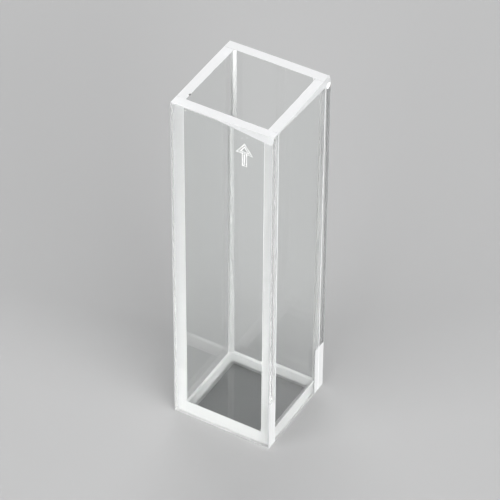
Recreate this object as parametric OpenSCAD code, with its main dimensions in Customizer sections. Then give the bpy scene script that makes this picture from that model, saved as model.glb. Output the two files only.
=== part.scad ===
// Glass cuvette: a square cell with a 10 mm light path, open at the top.
//
// Five polished plates are fused together along thin bond lines. The two
// windows are as wide as the cell, the two side walls stand between them, and
// the base plate is set inside all four, a hair above their feet, which keeps
// its polished underside off the bench. The rim and the feet are ground after
// fusing. Their outer edges get an even bevel, and on the rim a second one by
// hand, which runs deeper towards one end of each edge.
//
// Frame: the origin is the middle of the footprint and +Z is up. Light passes
// along Y. The front window is towards -Y and the right wall towards +X.

/* [Well] */
// Light path: clear distance between the two windows
path_length = 10; // [5:0.5:20]
// Clear width of the well between the two side walls
well_width = 10; // [5:0.5:20]
// Height of the cell, from foot to rim
cell_height = 45; // [20:1:60]

/* [Plates] */
// Thickness of the front and back windows
window_t = 1.25; // [1:0.05:2]
// Thickness of the left and right walls
wall_t = 1.25; // [1:0.05:2]
// Thickness of the base plate
base_t = 1.25; // [1:0.05:4]
// Height of the base plate's underside above the feet of the other plates
base_lift = 0.05; // [0:0.01:0.3]
// Thickness of the fused bond line between two plates
bond_t = 0.03; // [0.01:0.01:0.1]

/* [Arrises, ground on each plate before fusing] */
// Width of the upright arrises on the windows' outer faces
window_arris = 0.15; // [0.05:0.05:0.4]
// How far the front window's arrises run onto its side edges
front_arris_side = 0.05; // [0.05:0.05:0.4]
// How far the back window's arrises run onto its side edges
back_arris_side = 0.15; // [0.05:0.05:0.4]
// Arris on the upright edges where a window meets a side wall
seam_arris = 0.05; // [0.05:0.05:0.4]
// Arris on the top and upright edges of the base plate
base_arris = 0.1; // [0.05:0.05:0.4]

/* [Bevels, ground on the finished cell] */
// Bevel on the outer edge of the foot
foot_bevel = 0.2; // [0.05:0.05:0.4]
// Even bevel along the outer edge of the rim
rim_bevel = 0.1; // [0.05:0.01:0.4]
// Distance from the left corner to where the front edge's second bevel starts
front_bevel_start = 4.9; // [0:0.1:6]
// Depth of the front edge's second bevel, at the right corner
front_bevel_end = 0.9; // [0.1:0.05:1]
// Depth of the right edge's second bevel, at the back corner
right_bevel_end = 0.75; // [0.1:0.05:1]
// Depth of the back edge's second bevel, at the left corner
back_bevel_end = 0.3; // [0.1:0.05:1]
// Depth of the left edge's second bevel, at the front corner
left_bevel_end = 0.35; // [0.1:0.05:1]
// Level width of a bevel on the rim, as a share of its depth
bevel_lean = 0.35; // [0.3:0.05:1]

/* [Chips] */
// Radius of the scooped chip in the inner rim edge of the left wall
chip_r = 0.15; // [0.1:0.05:0.5]
// Distance from the front window to the middle of the chip
chip_from_front = 0.9; // [0.6:0.1:2]
// Radius of the shell-shaped chip in the right end of the back window
end_chip_r = 0.9; // [0.5:0.1:1.5]
// How deep that chip goes into the window's end
end_chip_bite = 0.1; // [0.05:0.01:0.3]
// Distance from the back face to the middle of that chip
end_chip_from_back = 0.65; // [0.5:0.05:1]

/* [Hidden] */

outer_w = well_width + 2 * wall_t;
outer_d = path_length + 2 * window_t;
middle = [0, 0, cell_height / 2];
glass = [0.88, 0.94, 0.93, 0.5];

// How far a corner is cut back along X and along Y
seam_cut = [seam_arris, seam_arris];
base_cut = [base_arris, base_arris];

// Outer corners of the footprint, anticlockwise seen from above
left_front = [-outer_w / 2, -outer_d / 2, 0];
right_front = [outer_w / 2, -outer_d / 2, 0];
right_back = [outer_w / 2, outer_d / 2, 0];
left_back = [-outer_w / 2, outer_d / 2, 0];
up = [0, 0, 1];
rim = cell_height * up;

// A rectangle from corner lo to corner hi, its corners cut back by the X and Y
// of front at the end towards -Y, and by those of back at the other
function cut_rect(lo, hi, front, back) = [
    [lo.x + front.x, lo.y], [hi.x - front.x, lo.y],
    [hi.x, lo.y + front.y], [hi.x, hi.y - back.y],
    [hi.x - back.x, hi.y], [lo.x + back.x, hi.y],
    [lo.x, hi.y - back.y], [lo.x, lo.y + front.y]
];

// Takes away what lies beyond the plane through a, b and c, as a flat lap does
module grind(a, b, c) {
    across = cross(b - a, c - a);
    away = across * (middle - a) > 0 ? -across : across;
    block = 4 * norm(middle - left_front);
    translate(a)
        rotate([0, acos(away.z / norm(away)), atan2(away.y, away.x)])
            translate([-block / 2, -block / 2, 0])
                cube(block);
}

// Bevel along the outer edge from p to q, which runs anticlockwise seen from
// above. It takes depth_p and depth_q off the upright face at its two ends,
// and lean times as much off the level face.
module edge_bevel(p, q, depth_p, depth_q, lean) {
    into = p.z > middle.z ? -up : up;
    inward = cross(up, q - p) / norm(q - p);
    grind(p + depth_p * into, q + depth_q * into, q + lean * depth_q * inward);
}

// All that is ground off the finished cell, across plates and seams alike
module ground_edges() {
    for (edge = [[left_front, right_front], [right_front, right_back],
                 [right_back, left_back], [left_back, left_front]]) {
        edge_bevel(edge[0], edge[1], foot_bevel, foot_bevel, 1);
        edge_bevel(rim + edge[0], rim + edge[1], rim_bevel, rim_bevel, bevel_lean);
    }
    // the second bevels, each from nothing at its start
    edge_bevel(rim + left_front + [front_bevel_start, 0, 0], rim + right_front,
               0, front_bevel_end, bevel_lean);
    edge_bevel(rim + right_front, rim + right_back, 0, right_bevel_end, bevel_lean);
    edge_bevel(rim + right_back, rim + left_back, 0, back_bevel_end, bevel_lean);
    edge_bevel(rim + left_back, rim + left_front, 0, left_bevel_end, bevel_lean);
}

// One upright plate from corner lo to corner hi in plan, ground with the rest
module upright_plate(lo, hi, front, back) {
    difference() {
        linear_extrude(cell_height) polygon(cut_rect(lo, hi, front, back));
        ground_edges();
    }
}

module front_window() {
    color(glass)
        upright_plate([-outer_w / 2, -outer_d / 2], [outer_w / 2, -path_length / 2],
                      [window_arris, front_arris_side], seam_cut);
}

// The back window, with the chip that came off its right end under the bevel
module back_window() {
    color(glass)
        difference() {
            upright_plate([-outer_w / 2, path_length / 2], [outer_w / 2, outer_d / 2],
                          seam_cut, [window_arris, back_arris_side]);
            translate(rim + right_back
                      + [end_chip_r - end_chip_bite, -end_chip_from_back, -right_bevel_end])
                sphere(end_chip_r, $fn = 64);
        }
}

// The left wall, with the chip knocked out of its inner rim edge
module left_wall() {
    half = path_length / 2 - bond_t;
    color(glass)
        difference() {
            upright_plate([-outer_w / 2, -half], [-well_width / 2, half], seam_cut, seam_cut);
            translate(rim + [-well_width / 2, -path_length / 2 + chip_from_front, 0])
                sphere(chip_r, $fn = 32);
        }
}

module right_wall() {
    half = path_length / 2 - bond_t;
    color(glass)
        upright_plate([well_width / 2, -half], [outer_w / 2, half], seam_cut, seam_cut);
}

// The base plate, a bond line short of the four plates around it
module base_plate() {
    size = [well_width - 2 * bond_t, path_length - 2 * bond_t];
    color(glass)
        translate(base_lift * up)
            intersection() {
                linear_extrude(base_t)
                    polygon(cut_rect(-size / 2, size / 2, base_cut, base_cut));
                rotate([90, 0, 0])
                    linear_extrude(size.y, center = true) base_profile(size.x);
                rotate([90, 0, 90])
                    linear_extrude(size.x, center = true) base_profile(size.y);
            }
}

// End view of the base plate: square underneath, arrised at the top
module base_profile(width) {
    polygon([[-width / 2, 0], [width / 2, 0], [width / 2, base_t - base_arris],
             [width / 2 - base_arris, base_t], [-width / 2 + base_arris, base_t],
             [-width / 2, base_t - base_arris]]);
}

front_window();
back_window();
left_wall();
right_wall();
base_plate();
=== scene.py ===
# %% [markdown]
# # A glass cuvette
#
# A cuvette is a small square cell that holds a liquid in a beam of light. Five polished
# plates are fused together with white glass powder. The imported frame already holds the
# plates at their true size, so this lesson gives them their glass, their ground edges and
# their seams, and then lights them. Everything is in metres, in the frame's own axes.

import math

import bpy
from mathutils import Matrix, Vector, noise


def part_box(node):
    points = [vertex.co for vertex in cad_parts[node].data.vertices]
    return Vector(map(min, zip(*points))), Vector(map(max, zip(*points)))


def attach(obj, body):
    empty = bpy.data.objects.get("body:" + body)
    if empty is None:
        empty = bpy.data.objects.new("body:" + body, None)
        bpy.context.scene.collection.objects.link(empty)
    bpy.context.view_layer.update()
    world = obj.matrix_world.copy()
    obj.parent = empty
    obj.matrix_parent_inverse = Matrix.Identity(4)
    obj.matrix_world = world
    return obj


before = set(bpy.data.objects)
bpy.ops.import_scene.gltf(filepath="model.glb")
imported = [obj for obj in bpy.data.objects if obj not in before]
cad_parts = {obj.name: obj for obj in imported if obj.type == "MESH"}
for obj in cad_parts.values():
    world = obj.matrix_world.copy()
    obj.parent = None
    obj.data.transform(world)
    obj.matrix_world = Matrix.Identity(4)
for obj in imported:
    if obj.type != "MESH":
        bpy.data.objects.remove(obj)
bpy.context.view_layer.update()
print("plates:", sorted(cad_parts))

# %% [markdown]
# ## Sizes read from the plates
#
# Seams and finishes have to land exactly where two plates meet. Typing those places in
# again would be one more chance to be wrong, so they are read from the plates' own boxes.

# %% Read the sizes
MM = 0.001

window_low, window_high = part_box("back_window")
wall_low, wall_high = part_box("right_wall")
base_low, base_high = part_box("base_plate")

HALF_WIDTH = window_high.x
HALF_DEPTH = window_high.y
RIM = window_high.z
WELL_X = wall_low.x
WELL_Y = window_low.y
BUTT_Y = wall_high.y
BASE_EDGE = base_high.x
BASE_UNDER = base_low.z
BASE_TOP = base_high.z
print("well half sizes in mm:", round(WELL_X / MM, 3), round(WELL_Y / MM, 3))
print("bond line in mm:", round((WELL_Y - BUTT_Y) / MM, 3))
print("base plate in mm:", round(BASE_UNDER / MM, 3), "to", round(BASE_TOP / MM, 3))

# %% [markdown]
# ## Small helpers for shader maths
#
# A finish that changes across one plate needs a mask, a number from 0 to 1 at each point.
# Masks are sums done with Math nodes. These helpers write one such sum per line, which
# reads like ordinary arithmetic and keeps the node trees short to describe. A mask is
# made with above or under, and two masks are joined with both or either.

# %% Helpers for sums and masks
def feed(tree, socket, value):
    if isinstance(value, bpy.types.NodeSocket):
        tree.links.new(value, socket)
    else:
        socket.default_value = value


def calc(tree, operation, first, second=0.0):
    node = tree.nodes.new("ShaderNodeMath")
    node.operation = operation
    feed(tree, node.inputs[0], first)
    feed(tree, node.inputs[1], second)
    return node.outputs[0]


def above(tree, value, edge, softness):
    node = tree.nodes.new("ShaderNodeMapRange")
    feed(tree, node.inputs["Value"], calc(tree, "SUBTRACT", value, edge))
    node.inputs["From Min"].default_value = -softness
    node.inputs["From Max"].default_value = softness
    return node.outputs["Result"]


def under(tree, value, edge, softness):
    return calc(tree, "SUBTRACT", 1.0, above(tree, value, edge, softness))


def both(tree, first, second):
    return calc(tree, "MULTIPLY", first, second)


def either(tree, first, second):
    return calc(tree, "MAXIMUM", first, second)


print("a mask runs from 0 to 1 over twice its softness")

# %% [markdown]
# ## Ragged edges, places and directions
#
# Nothing melted or ground by hand has a ruled edge. A little noise added to a distance
# before it is masked makes the edge wander. The noise is fixed to the object's own axes,
# so it stays where it is from any side. The last helper gives a point's place, and how
# much its face points along each axis.

# %% Helpers for noise and place
def grain(tree, where, scale, detail=2.0):
    node = tree.nodes.new("ShaderNodeTexNoise")
    tree.links.new(where, node.inputs["Vector"])
    node.inputs["Scale"].default_value = scale
    node.inputs["Detail"].default_value = detail
    return node.outputs["Fac"]


def ragged(tree, where, scale, depth, detail=2.0):
    swing = calc(tree, "SUBTRACT", grain(tree, where, scale, detail), 0.5)
    return calc(tree, "MULTIPLY", swing, depth)


def place_and_facing(tree):
    where = tree.nodes.new("ShaderNodeTexCoord").outputs["Object"]
    place = tree.nodes.new("ShaderNodeSeparateXYZ")
    tree.links.new(where, place.inputs[0])
    facing = tree.nodes.new("ShaderNodeSeparateXYZ")
    geometry = tree.nodes.new("ShaderNodeNewGeometry")
    tree.links.new(geometry.outputs["True Normal"], facing.inputs[0])
    sizes = [calc(tree, "ABSOLUTE", axis) for axis in facing.outputs]
    return where, place.outputs, sizes


print("noise and place are measured in the object's own axes, in metres")

# %% [markdown]
# ## Polished glass and matt white
#
# Polished glass is clear and bends light. Everything white on a glass cell is glass too,
# broken so finely that it scatters light: dust in a ground face, or powder that hasn't
# quite melted. It is made as a matt colour with grains a few hundredths of a millimetre
# across, which tint it a little and raise a slight bump.

# %% Make clear glass and matt white
GLASS_TINT = (0.985, 0.995, 0.990, 1.0)
GLASS_IOR = 1.52
WHITE_ROUGHNESS = 0.8
WHITE_BUMP = 0.4
GRAIN_DETAIL = 3.0
# the size of the grains, and the height of their bumps
GRIT = (0.04 * MM, 0.004 * MM)
POWDER = (0.07 * MM, 0.006 * MM)


def clear_glass(tree):
    shader = tree.nodes.new("ShaderNodeBsdfPrincipled")
    shader.inputs["Base Color"].default_value = GLASS_TINT
    shader.inputs["Roughness"].default_value = 0.0
    shader.inputs["IOR"].default_value = GLASS_IOR
    shader.inputs["Transmission Weight"].default_value = 1.0
    return shader.outputs[0]


def matt_white(tree, where, colour, grains, spread):
    grain_size, bump_height = grains
    shader = tree.nodes.new("ShaderNodeBsdfPrincipled")
    shader.inputs["Specular IOR Level"].default_value = 0.0
    shader.inputs["Roughness"].default_value = WHITE_ROUGHNESS
    speckle = grain(tree, where, 1.0 / grain_size, GRAIN_DETAIL)
    mix = tree.nodes.new("ShaderNodeMix")
    mix.data_type = "RGBA"
    tree.links.new(speckle, mix.inputs["Factor"])
    mix.inputs["A"].default_value = [c * (1.0 - spread) for c in colour[:3]] + [1.0]
    mix.inputs["B"].default_value = [min(1.0, c * (1.0 + spread)) for c in colour[:3]] + [1.0]
    tree.links.new(mix.outputs["Result"], shader.inputs["Base Color"])
    bump = tree.nodes.new("ShaderNodeBump")
    bump.inputs["Strength"].default_value = WHITE_BUMP
    bump.inputs["Distance"].default_value = bump_height
    tree.links.new(speckle, bump.inputs["Height"])
    tree.links.new(bump.outputs["Normal"], shader.inputs["Normal"])
    return shader.outputs[0]


print("grain in mm: grit", round(GRIT[0] / MM, 3), "powder", round(POWDER[0] / MM, 3))

# %% [markdown]
# ## Ground glass
#
# A ground face is polished glass roughened by an abrasive. White paint could stand for
# it, but paint stops light, and a ground face lets it in: light falls into the rim, runs
# down inside the plates and lights the seams and the foot. So a ground face is made of
# very rough glass, with white over three quarters of it for the dust left in it.

# %% Make ground glass and start a material
GROUND_TINT = (0.97, 0.975, 0.975, 1.0)
GROUND_ROUGHNESS = 0.85
GROUND_DUST = 0.75
DUST_SPREAD = 0.04


def blend_shaders(tree, mask, bottom, top):
    mix = tree.nodes.new("ShaderNodeMixShader")
    feed(tree, mix.inputs[0], mask)
    tree.links.new(bottom, mix.inputs[1])
    tree.links.new(top, mix.inputs[2])
    return mix.outputs[0]


def ground_glass(tree, where, colour):
    rough = tree.nodes.new("ShaderNodeBsdfPrincipled")
    rough.inputs["Base Color"].default_value = GROUND_TINT
    rough.inputs["Roughness"].default_value = GROUND_ROUGHNESS
    rough.inputs["IOR"].default_value = GLASS_IOR
    rough.inputs["Transmission Weight"].default_value = 1.0
    dust = matt_white(tree, where, colour, GRIT, DUST_SPREAD)
    return blend_shaders(tree, GROUND_DUST, rough.outputs[0], dust)


def start_material(name):
    material = bpy.data.materials.new(name)
    material.use_nodes = True
    material.node_tree.nodes.clear()
    return material, material.node_tree


def end_material(tree, shader):
    output = tree.nodes.new("ShaderNodeOutputMaterial")
    tree.links.new(shader, output.inputs["Surface"])


print("share of white in a ground face:", GROUND_DUST)

# %% [markdown]
# ## Which faces were ground
#
# The direction a face points in says how it was finished. A face that is square to an
# axis and upright is polished. A slanting face is a bevel or an arris, so it is ground,
# and so are the level faces at the rim and the foot. Painting each face by hand would
# work too, but the direction needs no list of faces, and it still holds if a size changes.

# %% Mask faces by their direction
AXIS_SQUARE = 0.995
UPRIGHT_LIMIT = 0.1
FACE_SOFT = 0.002
EDGE_SOFT = 0.012 * MM


def square_on(tree, size):
    return above(tree, size, AXIS_SQUARE, FACE_SOFT)


def slanting_mask(tree, facing):
    squarest = either(tree, either(tree, facing[0], facing[1]), facing[2])
    return under(tree, squarest, AXIS_SQUARE, FACE_SOFT)


def arris_mask(tree, facing):
    upright = under(tree, facing[2], UPRIGHT_LIMIT, FACE_SOFT)
    return both(tree, slanting_mask(tree, facing), upright)


def within(tree, value, limit):
    return under(tree, calc(tree, "ABSOLUTE", value), limit, EDGE_SOFT)


print("square to an axis within", round(math.degrees(math.acos(AXIS_SQUARE)), 1), "degrees")

# %% [markdown]
# ## The worn rim and its chips
#
# The inner edge of the rim has no bevel, so the coarse grit left it slightly wavy. A chip
# there broke clear and shows as a dark nick. A shell-shaped chip under the bevel of the
# back window's end broke white. Both hollows are in the plates' shape already. A finish
# only has to fill each one, so a ball a hair larger than the hollow marks its place.

# %% Mask the worn edge and the chips
WAVE_LENGTH = 0.9 * MM
WAVE_DEPTH = 0.12 * MM
WAVE_SOFT = 0.5 * EDGE_SOFT
CLEAR_CHIP_PLACE = (-WELL_X, -WELL_Y + 0.9 * MM, RIM)
CLEAR_CHIP_RADIUS = 0.165 * MM
WHITE_CHIP_PLACE = (HALF_WIDTH + 0.8 * MM, HALF_DEPTH - 0.65 * MM, RIM - 0.75 * MM)
WHITE_CHIP_RADIUS = 0.904 * MM
WHITE_CHIP_SOFT = 0.002 * MM


def wave_mask(tree, where, place):
    from_wall = calc(tree, "SUBTRACT", calc(tree, "ABSOLUTE", place[0]), WELL_X)
    from_window = calc(tree, "SUBTRACT", calc(tree, "ABSOLUTE", place[1]), WELL_Y)
    from_edge = calc(tree, "MAXIMUM", from_wall, from_window)
    bite = ragged(tree, where, 1.0 / WAVE_LENGTH, WAVE_DEPTH, 1.0)
    worn = under(tree, from_edge, bite, WAVE_SOFT)
    return both(tree, worn, above(tree, place[2], RIM / 2, EDGE_SOFT))


def chip_mask(tree, where, middle, radius, softness):
    reach = tree.nodes.new("ShaderNodeVectorMath")
    reach.operation = "DISTANCE"
    tree.links.new(where, reach.inputs[0])
    reach.inputs[1].default_value = middle
    return under(tree, reach.outputs["Value"], radius, softness)


print("chips in mm:", [[round(v / MM, 2) for v in chip] for chip in (CLEAR_CHIP_PLACE, WHITE_CHIP_PLACE)])

# %% [markdown]
# ## Where the powder is bonded
#
# A bonded face is white because glass powder is melted onto it. A separate white sheet
# just behind the face would show less, since light inside the plate bounces off a polished
# face before it meets the sheet. Real powder touches the glass, so the white belongs to
# the face itself.
#
# It lies on inner faces only: where a window meets a side wall, and up to a little above
# the base plate. Its edge wanders a few hundredths of a millimetre, as melted powder does.
# Its white is painted with light. It is greyish at the rim, lighter towards the foot, and white in the
# lowest seven millimetres: a painted glow for the light that runs down inside the plates.

# %% Mask and make the bonded faces
BOND_SCALE = 900.0
BOND_WANDER = 0.03 * MM
INNER_LIMIT = 0.5 * (WELL_X + HALF_WIDTH)
FILLET_UP = 0.42 * MM
# the painted glow is full white below this height
BOND_GLOW_TOP = 7.2 * MM
BOND_GLOW_SOFT = 0.9 * MM
# one powder in two whites: painted dim at the rim, with a painted glow at the foot
BOND_DIM_WHITE = (0.69, 0.695, 0.695, 1.0)
BOND_GLOW_WHITE = (0.92, 0.925, 0.92, 1.0)
BOND_SPREAD = 0.04


def bond_mask(tree, where, place, facing):
    drift = ragged(tree, where, BOND_SCALE, BOND_WANDER)
    low = under(tree, calc(tree, "ADD", place[2], drift), BASE_TOP + FILLET_UP, EDGE_SOFT)
    across = calc(tree, "ADD", calc(tree, "ABSOLUTE", place[0]), drift)
    beside_wall = above(tree, across, WELL_X, EDGE_SOFT)
    on_window = both(tree, square_on(tree, facing[1]), within(tree, place[1], INNER_LIMIT))
    on_wall = both(tree, square_on(tree, facing[0]), within(tree, place[0], INNER_LIMIT))
    bonded_window = both(tree, on_window, either(tree, low, beside_wall))
    return either(tree, bonded_window, both(tree, on_wall, low))


def bonded_white(tree, where, place):
    dim = matt_white(tree, where, BOND_DIM_WHITE, POWDER, BOND_SPREAD)
    glowing = matt_white(tree, where, BOND_GLOW_WHITE, POWDER, BOND_SPREAD)
    # painted glow: lighter towards the foot, and white in the lowest seven millimetres
    glow_downward = under(tree, place[2], RIM / 2, RIM / 2)
    glow_lowest = under(tree, place[2], BOND_GLOW_TOP, BOND_GLOW_SOFT)
    return blend_shaders(tree, either(tree, glow_downward, glow_lowest), dim, glowing)


# the height up to which the bond carries its painted glow
print("powder stands", round(FILLET_UP / MM, 2), "mm above the base, and is thick up to",
      round(BOND_GLOW_TOP / MM, 1), "mm")

# %% [markdown]
# ## One recipe for the four upright plates
#
# The finishes are laid on like coats, each over the last, and each through its own mask.
# The level faces were lapped with a coarse grit and are the whitest. The bevels were made
# by hand with a finer one and are greyer, and the arrises are finer and greyer again. The
# foot is chalky and lets no light through. An arris inside a joint is filled with powder.
#
# White bonded behind glass shows about half as bright as white that lies open to the
# lamps. So an open upright white is written darker than a bonded one, or it burns out.
# The level rim gets less from the low lamps, and can be written white.

# %% Make the upright plates' material
LAPPED_WHITE = (0.92, 0.925, 0.93, 1.0)
BEVEL_GREY = (0.48, 0.485, 0.49, 1.0)
ARRIS_GREY = (0.34, 0.345, 0.35, 1.0)
CHALK_WHITE = (0.92, 0.92, 0.915, 1.0)
CHALK_SPREAD = 0.03
FOOT_BEVEL = 0.2 * MM
FOOT_TOP = 2 * FOOT_BEVEL
FOOT_FACING, FOOT_FACING_SOFT = 0.3, 0.1


def foot_mask(tree, place, facing):
    ground = either(tree, square_on(tree, facing[2]), slanting_mask(tree, facing))
    low = under(tree, place[2], FOOT_TOP, EDGE_SOFT)
    not_upright = above(tree, facing[2], FOOT_FACING, FOOT_FACING_SOFT)
    return both(tree, both(tree, ground, low), not_upright)


def upright_material(name, *markings):
    material, tree = start_material(name)
    where, place, facing = place_and_facing(tree)
    clear = clear_glass(tree)
    bonded = bonded_white(tree, where, place)
    lapped = ground_glass(tree, where, LAPPED_WHITE)
    bevelled = ground_glass(tree, where, BEVEL_GREY)
    greyed = ground_glass(tree, where, ARRIS_GREY)
    chalky = matt_white(tree, where, CHALK_WHITE, GRIT, CHALK_SPREAD)
    unworn = calc(tree, "SUBTRACT", 1.0, wave_mask(tree, where, place))
    arris = arris_mask(tree, facing)
    coats = [
        (bond_mask(tree, where, place, facing), bonded),
        (both(tree, square_on(tree, facing[2]), unworn), lapped),
        (slanting_mask(tree, facing), bevelled),
        (arris, greyed),
        (both(tree, arris, within(tree, place[1], INNER_LIMIT)), bonded),
        (foot_mask(tree, place, facing), chalky),
        (chip_mask(tree, where, WHITE_CHIP_PLACE, WHITE_CHIP_RADIUS, WHITE_CHIP_SOFT), lapped),
        (chip_mask(tree, where, CLEAR_CHIP_PLACE, CLEAR_CHIP_RADIUS, EDGE_SOFT), clear),
    ]
    for mask, colour in markings:
        mark = matt_white(tree, where, colour, GRIT, CHALK_SPREAD)
        coats.append((mask(tree, where, place, facing), mark))
    surface = clear
    for mask, coat in coats:
        surface = blend_shaders(tree, mask, surface, coat)
    end_material(tree, surface)
    return material


print("whites, open and ground:", LAPPED_WHITE[0], BEVEL_GREY[0], ARRIS_GREY[0])

# %% [markdown]
# ## The base plate's material
#
# The base plate stays polished, so that light passes through it. Only its edges carry
# powder: the four sides, the arris, a strip under the fillet on top, and a ragged ring
# underneath, where some powder ran below the edge as it melted. All of it is the same
# bonded white as on the upright plates.

# %% Make the base plate's material
# how far the fillet runs over the base from the front window, its narrowest side
FILLET_FRONT = 0.42 * MM
RING_IN = 0.9 * MM
RING_RAG = 0.15 * MM
RING_SOFT = 2 * EDGE_SOFT


def base_material(name):
    material, tree = start_material(name)
    where, place, facing = place_and_facing(tree)
    bonded = bonded_white(tree, where, place)
    sides = square_on(tree, either(tree, facing[0], facing[1]))
    across, along = [calc(tree, "ABSOLUTE", axis) for axis in place[:2]]
    farthest = calc(tree, "MAXIMUM", across, along)
    reach = calc(tree, "ADD", farthest, ragged(tree, where, BOND_SCALE, RING_RAG))
    middle = (BASE_UNDER + BASE_TOP) / 2
    on_top = both(tree, above(tree, place[2], middle, EDGE_SOFT),
                  above(tree, farthest, WELL_X - FILLET_FRONT, EDGE_SOFT))
    beneath = both(tree, under(tree, place[2], middle, EDGE_SOFT),
                   above(tree, reach, BASE_EDGE - RING_IN, RING_SOFT))
    edges = either(tree, sides, slanting_mask(tree, facing))
    covered = either(tree, edges, either(tree, on_top, beneath))
    end_material(tree, blend_shaders(tree, covered, clear_glass(tree), bonded))
    return material


print("powder under the base plate reaches in", round(RING_IN / MM, 2), "mm")

# %% [markdown]
# ## A small etched arrow
#
# The front window carries a small etched mark that shows which way round the cell goes in.
# Here it is a plain arrow. It could be cut as geometry, but an etch is only a few
# thousandths of a millimetre deep, so a mask is truer. The arrow is described by how far
# a point lies inside its outline. Two narrow ranges of that distance give a double line,
# and a field of dots breaks the line up, as a hand-held etching needle does. A few specks
# of dust near the rim use the same white.

# %% Shape the arrow
MARK_PLACE = (2.89 * MM, 41.6 * MM)
SHAFT_HALF = 0.30 * MM
SHAFT_LOW, SHAFT_HIGH = -1.5 * MM, 0.2 * MM
HEAD_LOW, HEAD_TIP = 0.1 * MM, 1.5 * MM
HEAD_HALF = 1.02 * MM


def arrow_depth(tree, place):
    u = calc(tree, "ABSOLUTE", calc(tree, "SUBTRACT", place[0], MARK_PLACE[0]))
    v = calc(tree, "SUBTRACT", place[2], MARK_PLACE[1])
    middle = 0.5 * (SHAFT_LOW + SHAFT_HIGH)
    off_middle = calc(tree, "ABSOLUTE", calc(tree, "SUBTRACT", v, middle))
    shaft = calc(tree, "MAXIMUM", calc(tree, "SUBTRACT", u, SHAFT_HALF),
                 calc(tree, "SUBTRACT", off_middle, SHAFT_HIGH - middle))
    rise = HEAD_TIP - HEAD_LOW
    slope = math.hypot(rise, HEAD_HALF)
    side = calc(tree, "ADD", calc(tree, "MULTIPLY", u, rise / slope),
                calc(tree, "MULTIPLY", calc(tree, "SUBTRACT", v, HEAD_TIP), HEAD_HALF / slope))
    head = calc(tree, "MAXIMUM", side, calc(tree, "SUBTRACT", HEAD_LOW, v))
    return calc(tree, "MINIMUM", shaft, head)


print("arrow in mm:", round(2 * HEAD_HALF / MM, 2), "wide,",
      round((HEAD_TIP - SHAFT_LOW) / MM, 2), "high")

# %% Mask the arrow's lines and the specks
LINE_IN, LINE_GAP, LINE_HALF = 0.15 * MM, 0.11 * MM, 0.05 * MM
MARK_SOFT = 0.01 * MM
DOT_PITCH = 0.085 * MM
DOT_SCATTER = 0.35
DOT_SIZE, DOT_SOFT = 0.5, 0.08
# across, height and radius of each speck, in mm
SPECKS = [(-4.32, 44.59, 0.05), (2.58, 43.76, 0.04), (3.18, 44.01, 0.04), (4.27, 43.92, 0.03)]


def speck_mask(tree, place, x, z, size):
    dx = calc(tree, "SUBTRACT", place[0], x * MM)
    dz = calc(tree, "SUBTRACT", place[2], z * MM)
    away = calc(tree, "SQRT", calc(tree, "ADD", calc(tree, "MULTIPLY", dx, dx),
                                   calc(tree, "MULTIPLY", dz, dz)))
    return under(tree, away, size * MM, MARK_SOFT)


def arrow_and_specks(tree, where, place, facing):
    depth = calc(tree, "ADD", arrow_depth(tree, place), LINE_IN)
    beside = calc(tree, "SUBTRACT", calc(tree, "ABSOLUTE", depth), LINE_GAP)
    line = under(tree, calc(tree, "ABSOLUTE", beside), LINE_HALF, MARK_SOFT)
    dots = tree.nodes.new("ShaderNodeTexVoronoi")
    tree.links.new(where, dots.inputs["Vector"])
    dots.inputs["Scale"].default_value = 1.0 / DOT_PITCH
    dots.inputs["Randomness"].default_value = DOT_SCATTER
    dotted = under(tree, dots.outputs["Distance"], DOT_SIZE, DOT_SOFT)
    marks = both(tree, line, dotted)
    for x, z, size in SPECKS:
        marks = either(tree, marks, speck_mask(tree, place, x, z, size))
    outside = under(tree, place[1], -INNER_LIMIT, EDGE_SOFT)
    return both(tree, marks, both(tree, square_on(tree, facing[1]), outside))


print("specks:", len(SPECKS))

# %% [markdown]
# ## The painted glow in the right corners
#
# The lowest parts of the two right corners are painted white, a painted glow for the light that
# runs down inside the plates to the foot. The patches cover the windows' ends, and the one at the
# back laps over the seam onto the right wall. They stop at a slightly ragged line. Cutting them as
# geometry would only roughen a face, so they are a mask, and its edges are a height and a depth
# with a little noise in them. The white is opaque, which is simple and true from outside. Seen
# through the plate it looks dark, where ground glass would let light in.

# %% Mask the painted corner glow
PATCH_TOP = 6.9 * MM
PATCH_TOP_SOFT = 3 * EDGE_SOFT
PATCH_FROM = WELL_Y - 0.87 * MM
PATCH_FROM_SOFT = 6 * EDGE_SOFT
PATCH_SCALE = 2500.0
PATCH_RAG = 0.25 * MM
# the painted glow's colour, kept grey because the side lamp lights this outer face strongly
CORNER_GLOW_GREY = (0.50, 0.505, 0.505, 1.0)
OUTER_SKIN = 0.1 * MM


# painted glow in the lowest parts of the right corners
def corner_glow_patch(tree, where, place, facing):
    rag = ragged(tree, where, PATCH_SCALE, PATCH_RAG)
    low = under(tree, calc(tree, "ADD", place[2], rag), PATCH_TOP, PATCH_TOP_SOFT)
    outer_face = both(tree, square_on(tree, facing[0]),
                      above(tree, place[0], HALF_WIDTH - OUTER_SKIN, EDGE_SOFT))
    at_back = above(tree, calc(tree, "SUBTRACT", place[1], rag), PATCH_FROM, PATCH_FROM_SOFT)
    at_front = under(tree, place[1], -WELL_Y, EDGE_SOFT)
    return both(tree, low, both(tree, outer_face, either(tree, at_back, at_front)))


# the height of the painted corner glow
print("whitened up to", round(PATCH_TOP / MM, 1), "mm")

# %% [markdown]
# ## Put the finishes on the plates
#
# The four upright plates share one recipe. The front window also carries the arrow, and
# three of them carry the painted glow in the corners. A plate keeps its shape, and only the material
# in each of its slots is changed.

# %% Dress the plates
arrow = (arrow_and_specks, CHALK_WHITE)
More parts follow.
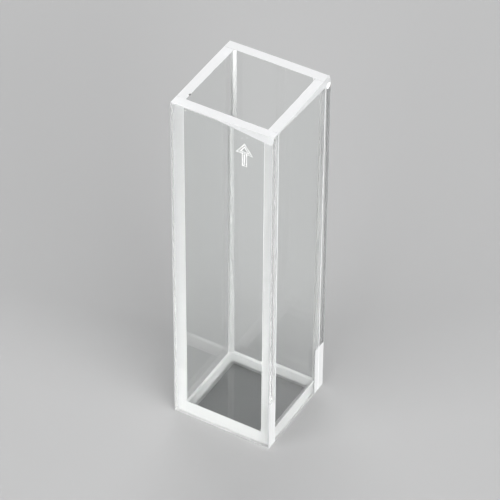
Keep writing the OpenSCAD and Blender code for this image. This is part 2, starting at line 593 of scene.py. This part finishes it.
# the corners carry a painted glow
corner_glow = (corner_glow_patch, CORNER_GLOW_GREY)
plate_finish = {
    "front_window": upright_material("front window glass", arrow, corner_glow),
    "back_window": upright_material("back window glass", corner_glow),
    "left_wall": upright_material("left wall glass"),
    "right_wall": upright_material("right wall glass", corner_glow),
    "base_plate": base_material("base glass"),
}
for name, material in plate_finish.items():
    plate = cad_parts[name]
    for slot in plate.material_slots:
        slot.material = material
    print(name, "wears", material.name, "in", len(plate.material_slots), "slot(s)")

# %% [markdown]
# ## Heights of the bevels
#
# The lap ground the powder along with the plates, so a seam must end at the same sloping
# planes as the glass. The rim has an even bevel all round, and on each edge a second one
# that starts from nothing and deepens towards the next corner. The height of a plane
# above a point is a short sum, so a seam's points are moved to the lowest plane at the
# rim, and to the highest one at the foot. Each end stays a hair short of the plane.

# %% Heights of the bevels
EVEN_BEVEL = 0.1 * MM
FRONT_START = 4.9 * MM
FRONT_END, RIGHT_END = 0.9 * MM, 0.75 * MM
BACK_END, LEFT_END = 0.3 * MM, 0.35 * MM
BEVEL_LEAN = 0.35
SEAM_SHY = 0.01 * MM


def rim_height(x, y):
    from_left, from_right = HALF_WIDTH + x, HALF_WIDTH - x
    from_front, from_back = HALF_DEPTH + y, HALF_DEPTH - y
    wide, deep = 2 * HALF_WIDTH, 2 * HALF_DEPTH
    bevels = [
        (from_front, FRONT_END * (from_left - FRONT_START) / (wide - FRONT_START)),
        (from_right, RIGHT_END * from_front / deep),
        (from_back, BACK_END * from_right / wide),
        (from_left, LEFT_END * from_back / deep),
    ]
    planes = [RIM - max(EVEN_BEVEL, depth) + inward / BEVEL_LEAN for inward, depth in bevels]
    return min(RIM, *planes) - SEAM_SHY


def foot_height(x, y):
    inward = min(HALF_WIDTH - abs(x), HALF_DEPTH - abs(y))
    return max(0.0, FOOT_BEVEL - inward) + SEAM_SHY


print("rim height over the corners in mm:",
      [round(rim_height(sx * HALF_WIDTH, sy * HALF_DEPTH) / MM, 2)
       for sx, sy in ((-1, -1), (1, -1), (1, 1), (-1, 1))])

# %% [markdown]
# ## The outline of an upright seam
#
# Each seam is a thin sheet of melted powder between a window's inner face and the end of
# a side wall. It ends in a small hollow bead in the corner of the well, and outside it
# fills the tiny groove that the two arrises leave. Its width wanders a little with height.
# The points lie in pairs, one on the window's side and one on the wall's. Extra pairs near
# the outside let the sheet's two ends bend where the bevels do.

# %% Outline an upright seam
SEAM_ARRIS = 0.05 * MM
GLASS_CLEARANCE = 0.004 * MM
NO_BEAD = 0.004 * MM
SLIVER = 0.002 * MM
SKIN_IN = 0.012 * MM
SEAM_WANDER = 0.006 * MM
WANDER_PER_MM = 0.45
BEAD_CLIMB = 0.8
HOLLOW_X, HOLLOW_Y = 0.5, 0.3
# distances from the outer face, in mm
SHEET_STOPS = (0.5, 0.33, 0.26, 0.2, 0.14, 0.09)


def seam_pairs(height, bead, seed):
    wander = SEAM_WANDER * noise.noise(Vector((seed, 0.0, height / MM * WANDER_PER_MM)))
    window_y = WELL_Y - GLASS_CLEARANCE
    wall_y = BUTT_Y + GLASS_CLEARANCE
    in_well = height > BASE_TOP
    reach = bead + wander if in_well else NO_BEAD
    climb = BUTT_Y - BEAD_CLIMB * reach if in_well else wall_y
    tip = WELL_X - reach
    hollow = WELL_X - HOLLOW_X * reach
    groove = SEAM_ARRIS - SKIN_IN - GLASS_CLEARANCE
    pairs = [
        ((tip, window_y), (tip, window_y - SLIVER)),
        ((hollow, window_y), (hollow, WELL_Y - HOLLOW_Y * reach)),
        ((WELL_X, window_y), (WELL_X - GLASS_CLEARANCE, climb)),
        ((WELL_X + SEAM_ARRIS, window_y), (WELL_X + SEAM_ARRIS, wall_y)),
    ]
    stops = [HALF_WIDTH - inward * MM for inward in SHEET_STOPS] + [HALF_WIDTH - SEAM_ARRIS]
    pairs += [((x, window_y), (x, wall_y)) for x in stops]
    skin = HALF_WIDTH - SKIN_IN
    return pairs + [((skin, WELL_Y + groove), (skin, BUTT_Y - groove))]


print("points round a seam:", 2 * len(seam_pairs(RIM / 2, 0.0, 0.0)))

# %% [markdown]
# ## The upright seams
#
# A seam could be an extruded outline, but that would be ruler straight. Here the outline
# is laid down again every quarter of a millimetre, each time with a little wander, and
# joined to the last with a belt of faces. The bead is wider in the two back corners, and
# it narrows from foot to rim. The two ends are closed with neat strips from pair to pair.
# A mirrored seam has its faces turned over, so that they still point outward.

# %% Build the upright seams
SEAM_STEP = 0.25 * MM
FRONT_BEAD, BACK_BEAD = 0.11 * MM, 0.36 * MM
BEAD_AT_FOOT, BEAD_TAPER = 1.3, 0.5


def add_piece(name, points, faces):
    mesh = bpy.data.meshes.new(name)
    mesh.from_pydata(points, [], faces)
    mesh.validate()
    piece = bpy.data.objects.new(name, mesh)
    bpy.context.scene.collection.objects.link(piece)
    return piece


def build_seam(name, side_x, side_y, bead, seed):
    count = int((RIM - 2 * SEAM_SHY) / SEAM_STEP)
    points = []
    faces = []
    for k in range(count + 1):
        height = SEAM_SHY + k * (RIM - 2 * SEAM_SHY) / count
        pairs = seam_pairs(height, bead * (BEAD_AT_FOOT - BEAD_TAPER * height / RIM), seed)
        ring = [pair[0] for pair in pairs] + [pair[1] for pair in reversed(pairs)]
        for x, y in ring:
            px, py = side_x * x, side_y * y
            points.append((px, py, max(foot_height(px, py), min(height, rim_height(px, py)))))
    around = len(ring)
    for k in range(count):
        low, high = k * around, (k + 1) * around
        for j in range(around):
            n = (j + 1) % around
            faces.append((low + j, low + n, high + n, high + j))
    for j in range(len(pairs) - 1):
        strip = (j, j + 1, around - 2 - j, around - 1 - j)
        faces.append(strip[::-1])
        faces.append(tuple(count * around + corner for corner in strip))
    if side_x * side_y < 0:
        faces = [face[::-1] for face in faces]
    return add_piece(name, points, faces)


seam_pieces = [
    build_seam("seam_left_front", -1, -1, FRONT_BEAD, 1.7),
    build_seam("seam_right_front", 1, -1, FRONT_BEAD, 4.3),
    build_seam("seam_right_back", 1, 1, BACK_BEAD, 7.9),
    build_seam("seam_left_back", -1, 1, BACK_BEAD, 11.2),
]
print("upright seams:", [(p.name, len(p.data.polygons)) for p in seam_pieces])

# %% [markdown]
# ## The seam round the base
#
# The base plate is bonded on all four sides, and powder stands in a hollow fillet in the
# corner above its arris. The fillet climbs the same height on every plate, but it runs
# further over the base at the left and at the back. One ring carries it round. The ring
# is a list of outlines set side by side along a square path, and mitred at the corners
# simply because each outline is measured outward from the middle of the cell.

# %% Build the seam round the base
FILLET_LEFT, FILLET_RIGHT = 0.85 * MM, 0.42 * MM
FILLET_BACK = 1.1 * MM
BASE_ARRIS = 0.1 * MM
BASE_STEPS = 40
BASE_SIDE = 10 * MM
BASE_SEED = 3.1
BASE_WANDER = 6 * SEAM_WANDER
BASE_WANDER_PER_MM = 0.9
# shares of the fillet's reach, height and wander, from the plate down
FILLET_CURVE = [(0.0, 1.0, 1.0), (0.07, 0.62, 1.0), (0.2, 0.34, 1.0), (0.4, 0.15, 0.5)]
TOE_REACH, TOE_RISE = 0.66, 0.04
TOE_EDGE = 0.006 * MM


def base_outline(along, reach):
    noise_place = Vector((along / MM * BASE_WANDER_PER_MM, BASE_SEED, 0.0))
    wander = BASE_WANDER * noise.noise(noise_place)
    outer = WELL_X - GLASS_CLEARANCE
    inner = BASE_EDGE + GLASS_CLEARANCE
    fillet = [(outer - share_in * FILLET_FRONT, BASE_TOP + share_up * FILLET_UP + share * wander)
              for share_in, share_up, share in FILLET_CURVE]
    return [
        (outer, BASE_UNDER + SEAM_SHY),
        *fillet,
        (outer - TOE_REACH * reach, BASE_TOP + TOE_RISE * FILLET_UP),
        (outer - reach - wander, BASE_TOP + TOE_EDGE),
        (BASE_EDGE - BASE_ARRIS + GLASS_CLEARANCE, BASE_TOP + SLIVER),
        (inner, BASE_TOP - BASE_ARRIS),
        (inner, BASE_UNDER + SEAM_SHY),
    ]


def build_base_seam(name):
    corners = [(-1, -1), (1, -1), (1, 1), (-1, 1)]
    rings = []
    for k, (ax, ay) in enumerate(corners):
        bx, by = corners[(k + 1) % 4]
        for step in range(BASE_STEPS):
            share = step / BASE_STEPS
            mix_x, mix_y = ax + share * (bx - ax), ay + share * (by - ay)
            along = (k + share) * BASE_SIDE
            by_x = base_outline(along, FILLET_LEFT if mix_x < 0 else FILLET_RIGHT)
            by_y = base_outline(along, FILLET_FRONT if mix_y < 0 else FILLET_BACK)
            rings.append([(mix_x * u, mix_y * v, z) for (u, z), (v, _) in zip(by_x, by_y)])
    around = len(rings[0])
    points = [point for ring in rings for point in ring]
    faces = []
    for k in range(len(rings)):
        here, there = k * around, (k + 1) % len(rings) * around
        for j in range(around):
            n = (j + 1) % around
            faces.append((here + j, there + j, there + n, here + n))
    return add_piece(name, points, faces)


seam_pieces.append(build_base_seam("seam_base"))
print("base seam faces:", len(seam_pieces[-1].data.polygons))

# %% [markdown]
# ## The powder's own finish
#
# Melted glass powder is matt and chalky, with grains that just show. It uses the same
# recipe as the bonded faces, in three whites: the front beads are the whitest, the base
# seam comes next, and the wide back beads face two lamps at once and are written greyest.
# The outer skin of every seam is greyer still: it lies open to the low lamps, and as
# white as the rest it would burn out.

# %% Finish the seams
SKIN_POWDER = (0.50, 0.505, 0.51, 1.0)
FRONT_POWDER = (0.90, 0.905, 0.90, 1.0)
BACK_POWDER = (0.62, 0.625, 0.62, 1.0)
BASE_POWDER = (0.80, 0.805, 0.80, 1.0)
POWDER_SPREAD = 0.06


def powder_finish(name, colour):
    powder, tree = start_material(name)
    where, place, _ = place_and_facing(tree)
    bead = matt_white(tree, where, colour, POWDER, POWDER_SPREAD)
    skin = matt_white(tree, where, SKIN_POWDER, POWDER, POWDER_SPREAD)
    outside = above(tree, calc(tree, "ABSOLUTE", place[0]), INNER_LIMIT, EDGE_SOFT)
    end_material(tree, blend_shaders(tree, outside, bead, skin))
    return powder


front_powder = powder_finish("front fused powder", FRONT_POWDER)
back_powder = powder_finish("back fused powder", BACK_POWDER)
base_powder = powder_finish("base fused powder", BASE_POWDER)
powder_of = {
    "seam_left_front": front_powder,
    "seam_right_front": front_powder,
    "seam_right_back": back_powder,
    "seam_left_back": back_powder,
    "seam_base": base_powder,
}
for piece in seam_pieces:
    piece.data.materials.append(powder_of[piece.name])
    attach(piece, "root")
print("seams finished:", len(seam_pieces))

# %% [markdown]
# ## The floor
#
# Clear glass has no colour of its own and shows what is round it. A plain pale grey floor
# lets the white edges stand out without making the glass look tinted. It is matt enough
# that the lamp behind the cell leaves no sheen on it in the camera's view. The two front
# lamps are stronger: seen low and from behind, their sheen burns the floor out. A rougher
# floor with less shine in it would be the thing to try next.
#
# The floor lies two hundredths of a millimetre under the feet. Two faces in exactly the
# same plane are a common trap: a ray can't tell which it meets first, and the foot,
# which is seen through the glass above it, turns black.

# %% Lay the floor
FLOOR_GREY = (0.42, 0.42, 0.42, 1.0)
FLOOR_ROUGHNESS = 0.6
FLOOR_HALF = 1.5
FLOOR_DROP = 0.02 * MM

floor_corners = [(-FLOOR_HALF, -FLOOR_HALF, -FLOOR_DROP), (FLOOR_HALF, -FLOOR_HALF, -FLOOR_DROP),
                 (FLOOR_HALF, FLOOR_HALF, -FLOOR_DROP), (-FLOOR_HALF, FLOOR_HALF, -FLOOR_DROP)]
floor = add_piece("floor", floor_corners, [(0, 1, 2, 3)])
floor_finish, floor_tree = start_material("pale floor")
floor_shader = floor_tree.nodes.new("ShaderNodeBsdfPrincipled")
floor_shader.inputs["Base Color"].default_value = FLOOR_GREY
floor_shader.inputs["Roughness"].default_value = FLOOR_ROUGHNESS
end_material(floor_tree, floor_shader.outputs[0])
floor.data.materials.append(floor_finish)
print("floor grey:", FLOOR_GREY[0])

# %% [markdown]
# ## The light
#
# The seams are upright, so lamps from straight above would light the rim and leave them
# dull. Three large soft lamps stand low instead: one for each side that shows, and a
# weaker one behind, so that the far sides aren't dark. An even sky fills the rest. The
# lamps are kept down to where the whitest edges just don't burn out.

# %% Set the light
LAMP_WIDE, LAMP_TALL = 0.9, 0.55
SKY_COLOUR = (0.28, 0.282, 0.288, 1.0)
# name, place in metres and power in watts
LAMPS = [
    ("front lamp", (-0.20, -0.76, 0.30), 7.9),
    ("side lamp", (0.74, -0.30, 0.30), 12.6),
    ("back lamp", (-0.41, 0.68, 0.32), 4.0),
]

for name, place, power in LAMPS:
    lamp = bpy.data.lights.new(name, "AREA")
    lamp.shape = "RECTANGLE"
    lamp.size = LAMP_WIDE
    lamp.size_y = LAMP_TALL
    lamp.energy = power
    holder = bpy.data.objects.new(name, lamp)
    holder.location = place
    aim = Vector((0, 0, RIM / 2)) - Vector(place)
    holder.rotation_euler = aim.to_track_quat("-Z", "Y").to_euler()
    bpy.context.scene.collection.objects.link(holder)
    print(name, "stands", round(aim.length, 2), "m away, at", power, "W")

sky = bpy.data.worlds.new("even sky")
sky.use_nodes = True
sky.node_tree.nodes["Background"].inputs["Color"].default_value = SKY_COLOUR
sky.node_tree.nodes["Background"].inputs["Strength"].default_value = 1.0
bpy.context.scene.world = sky

# %% [markdown]
# ## Camera
#
# The camera looks down at the front right corner through a long lens. Its turn, height
# and tilt are angles, so they are written as angles, and the three axes are worked out
# from them. Light bounces many times inside a glass plate, so more bounces are allowed.

# %% Place the camera
AZIMUTH = math.radians(30.12)
ELEVATION = math.radians(41.03)
ROLL = math.radians(0.35)
DISTANCE = 0.3342
LENS = 218.3
SENSOR = 36
NEAR_CLIP = 0.01
GLASS_BOUNCES, GLOSS_BOUNCES = 24, 12

towards = Vector((math.sin(AZIMUTH) * math.cos(ELEVATION),
                  -math.cos(AZIMUTH) * math.cos(ELEVATION), math.sin(ELEVATION)))
level = (-towards).cross(Vector((0, 0, 1))).normalized()
upright = level.cross(-towards)
right = level * math.cos(ROLL) + upright * math.sin(ROLL)
top = upright * math.cos(ROLL) - level * math.sin(ROLL)
spot = towards * DISTANCE + Vector((0, 0, RIM / 2))
camera_data = bpy.data.cameras.new("camera")
camera_data.sensor_width = SENSOR
camera_data.lens = LENS
camera_data.clip_start = NEAR_CLIP
camera = bpy.data.objects.new("camera", camera_data)
bpy.context.scene.collection.objects.link(camera)
camera.matrix_world = Matrix((
    (right.x, top.x, towards.x, spot.x), (right.y, top.y, towards.y, spot.y),
    (right.z, top.z, towards.z, spot.z), (0, 0, 0, 1)))
bpy.context.scene.camera = camera
bpy.context.scene.view_settings.view_transform = "Standard"
bpy.context.scene.cycles.max_bounces = GLASS_BOUNCES
bpy.context.scene.cycles.transmission_bounces = GLASS_BOUNCES
bpy.context.scene.cycles.glossy_bounces = GLOSS_BOUNCES
print("camera stands at", [round(v, 4) for v in spot])
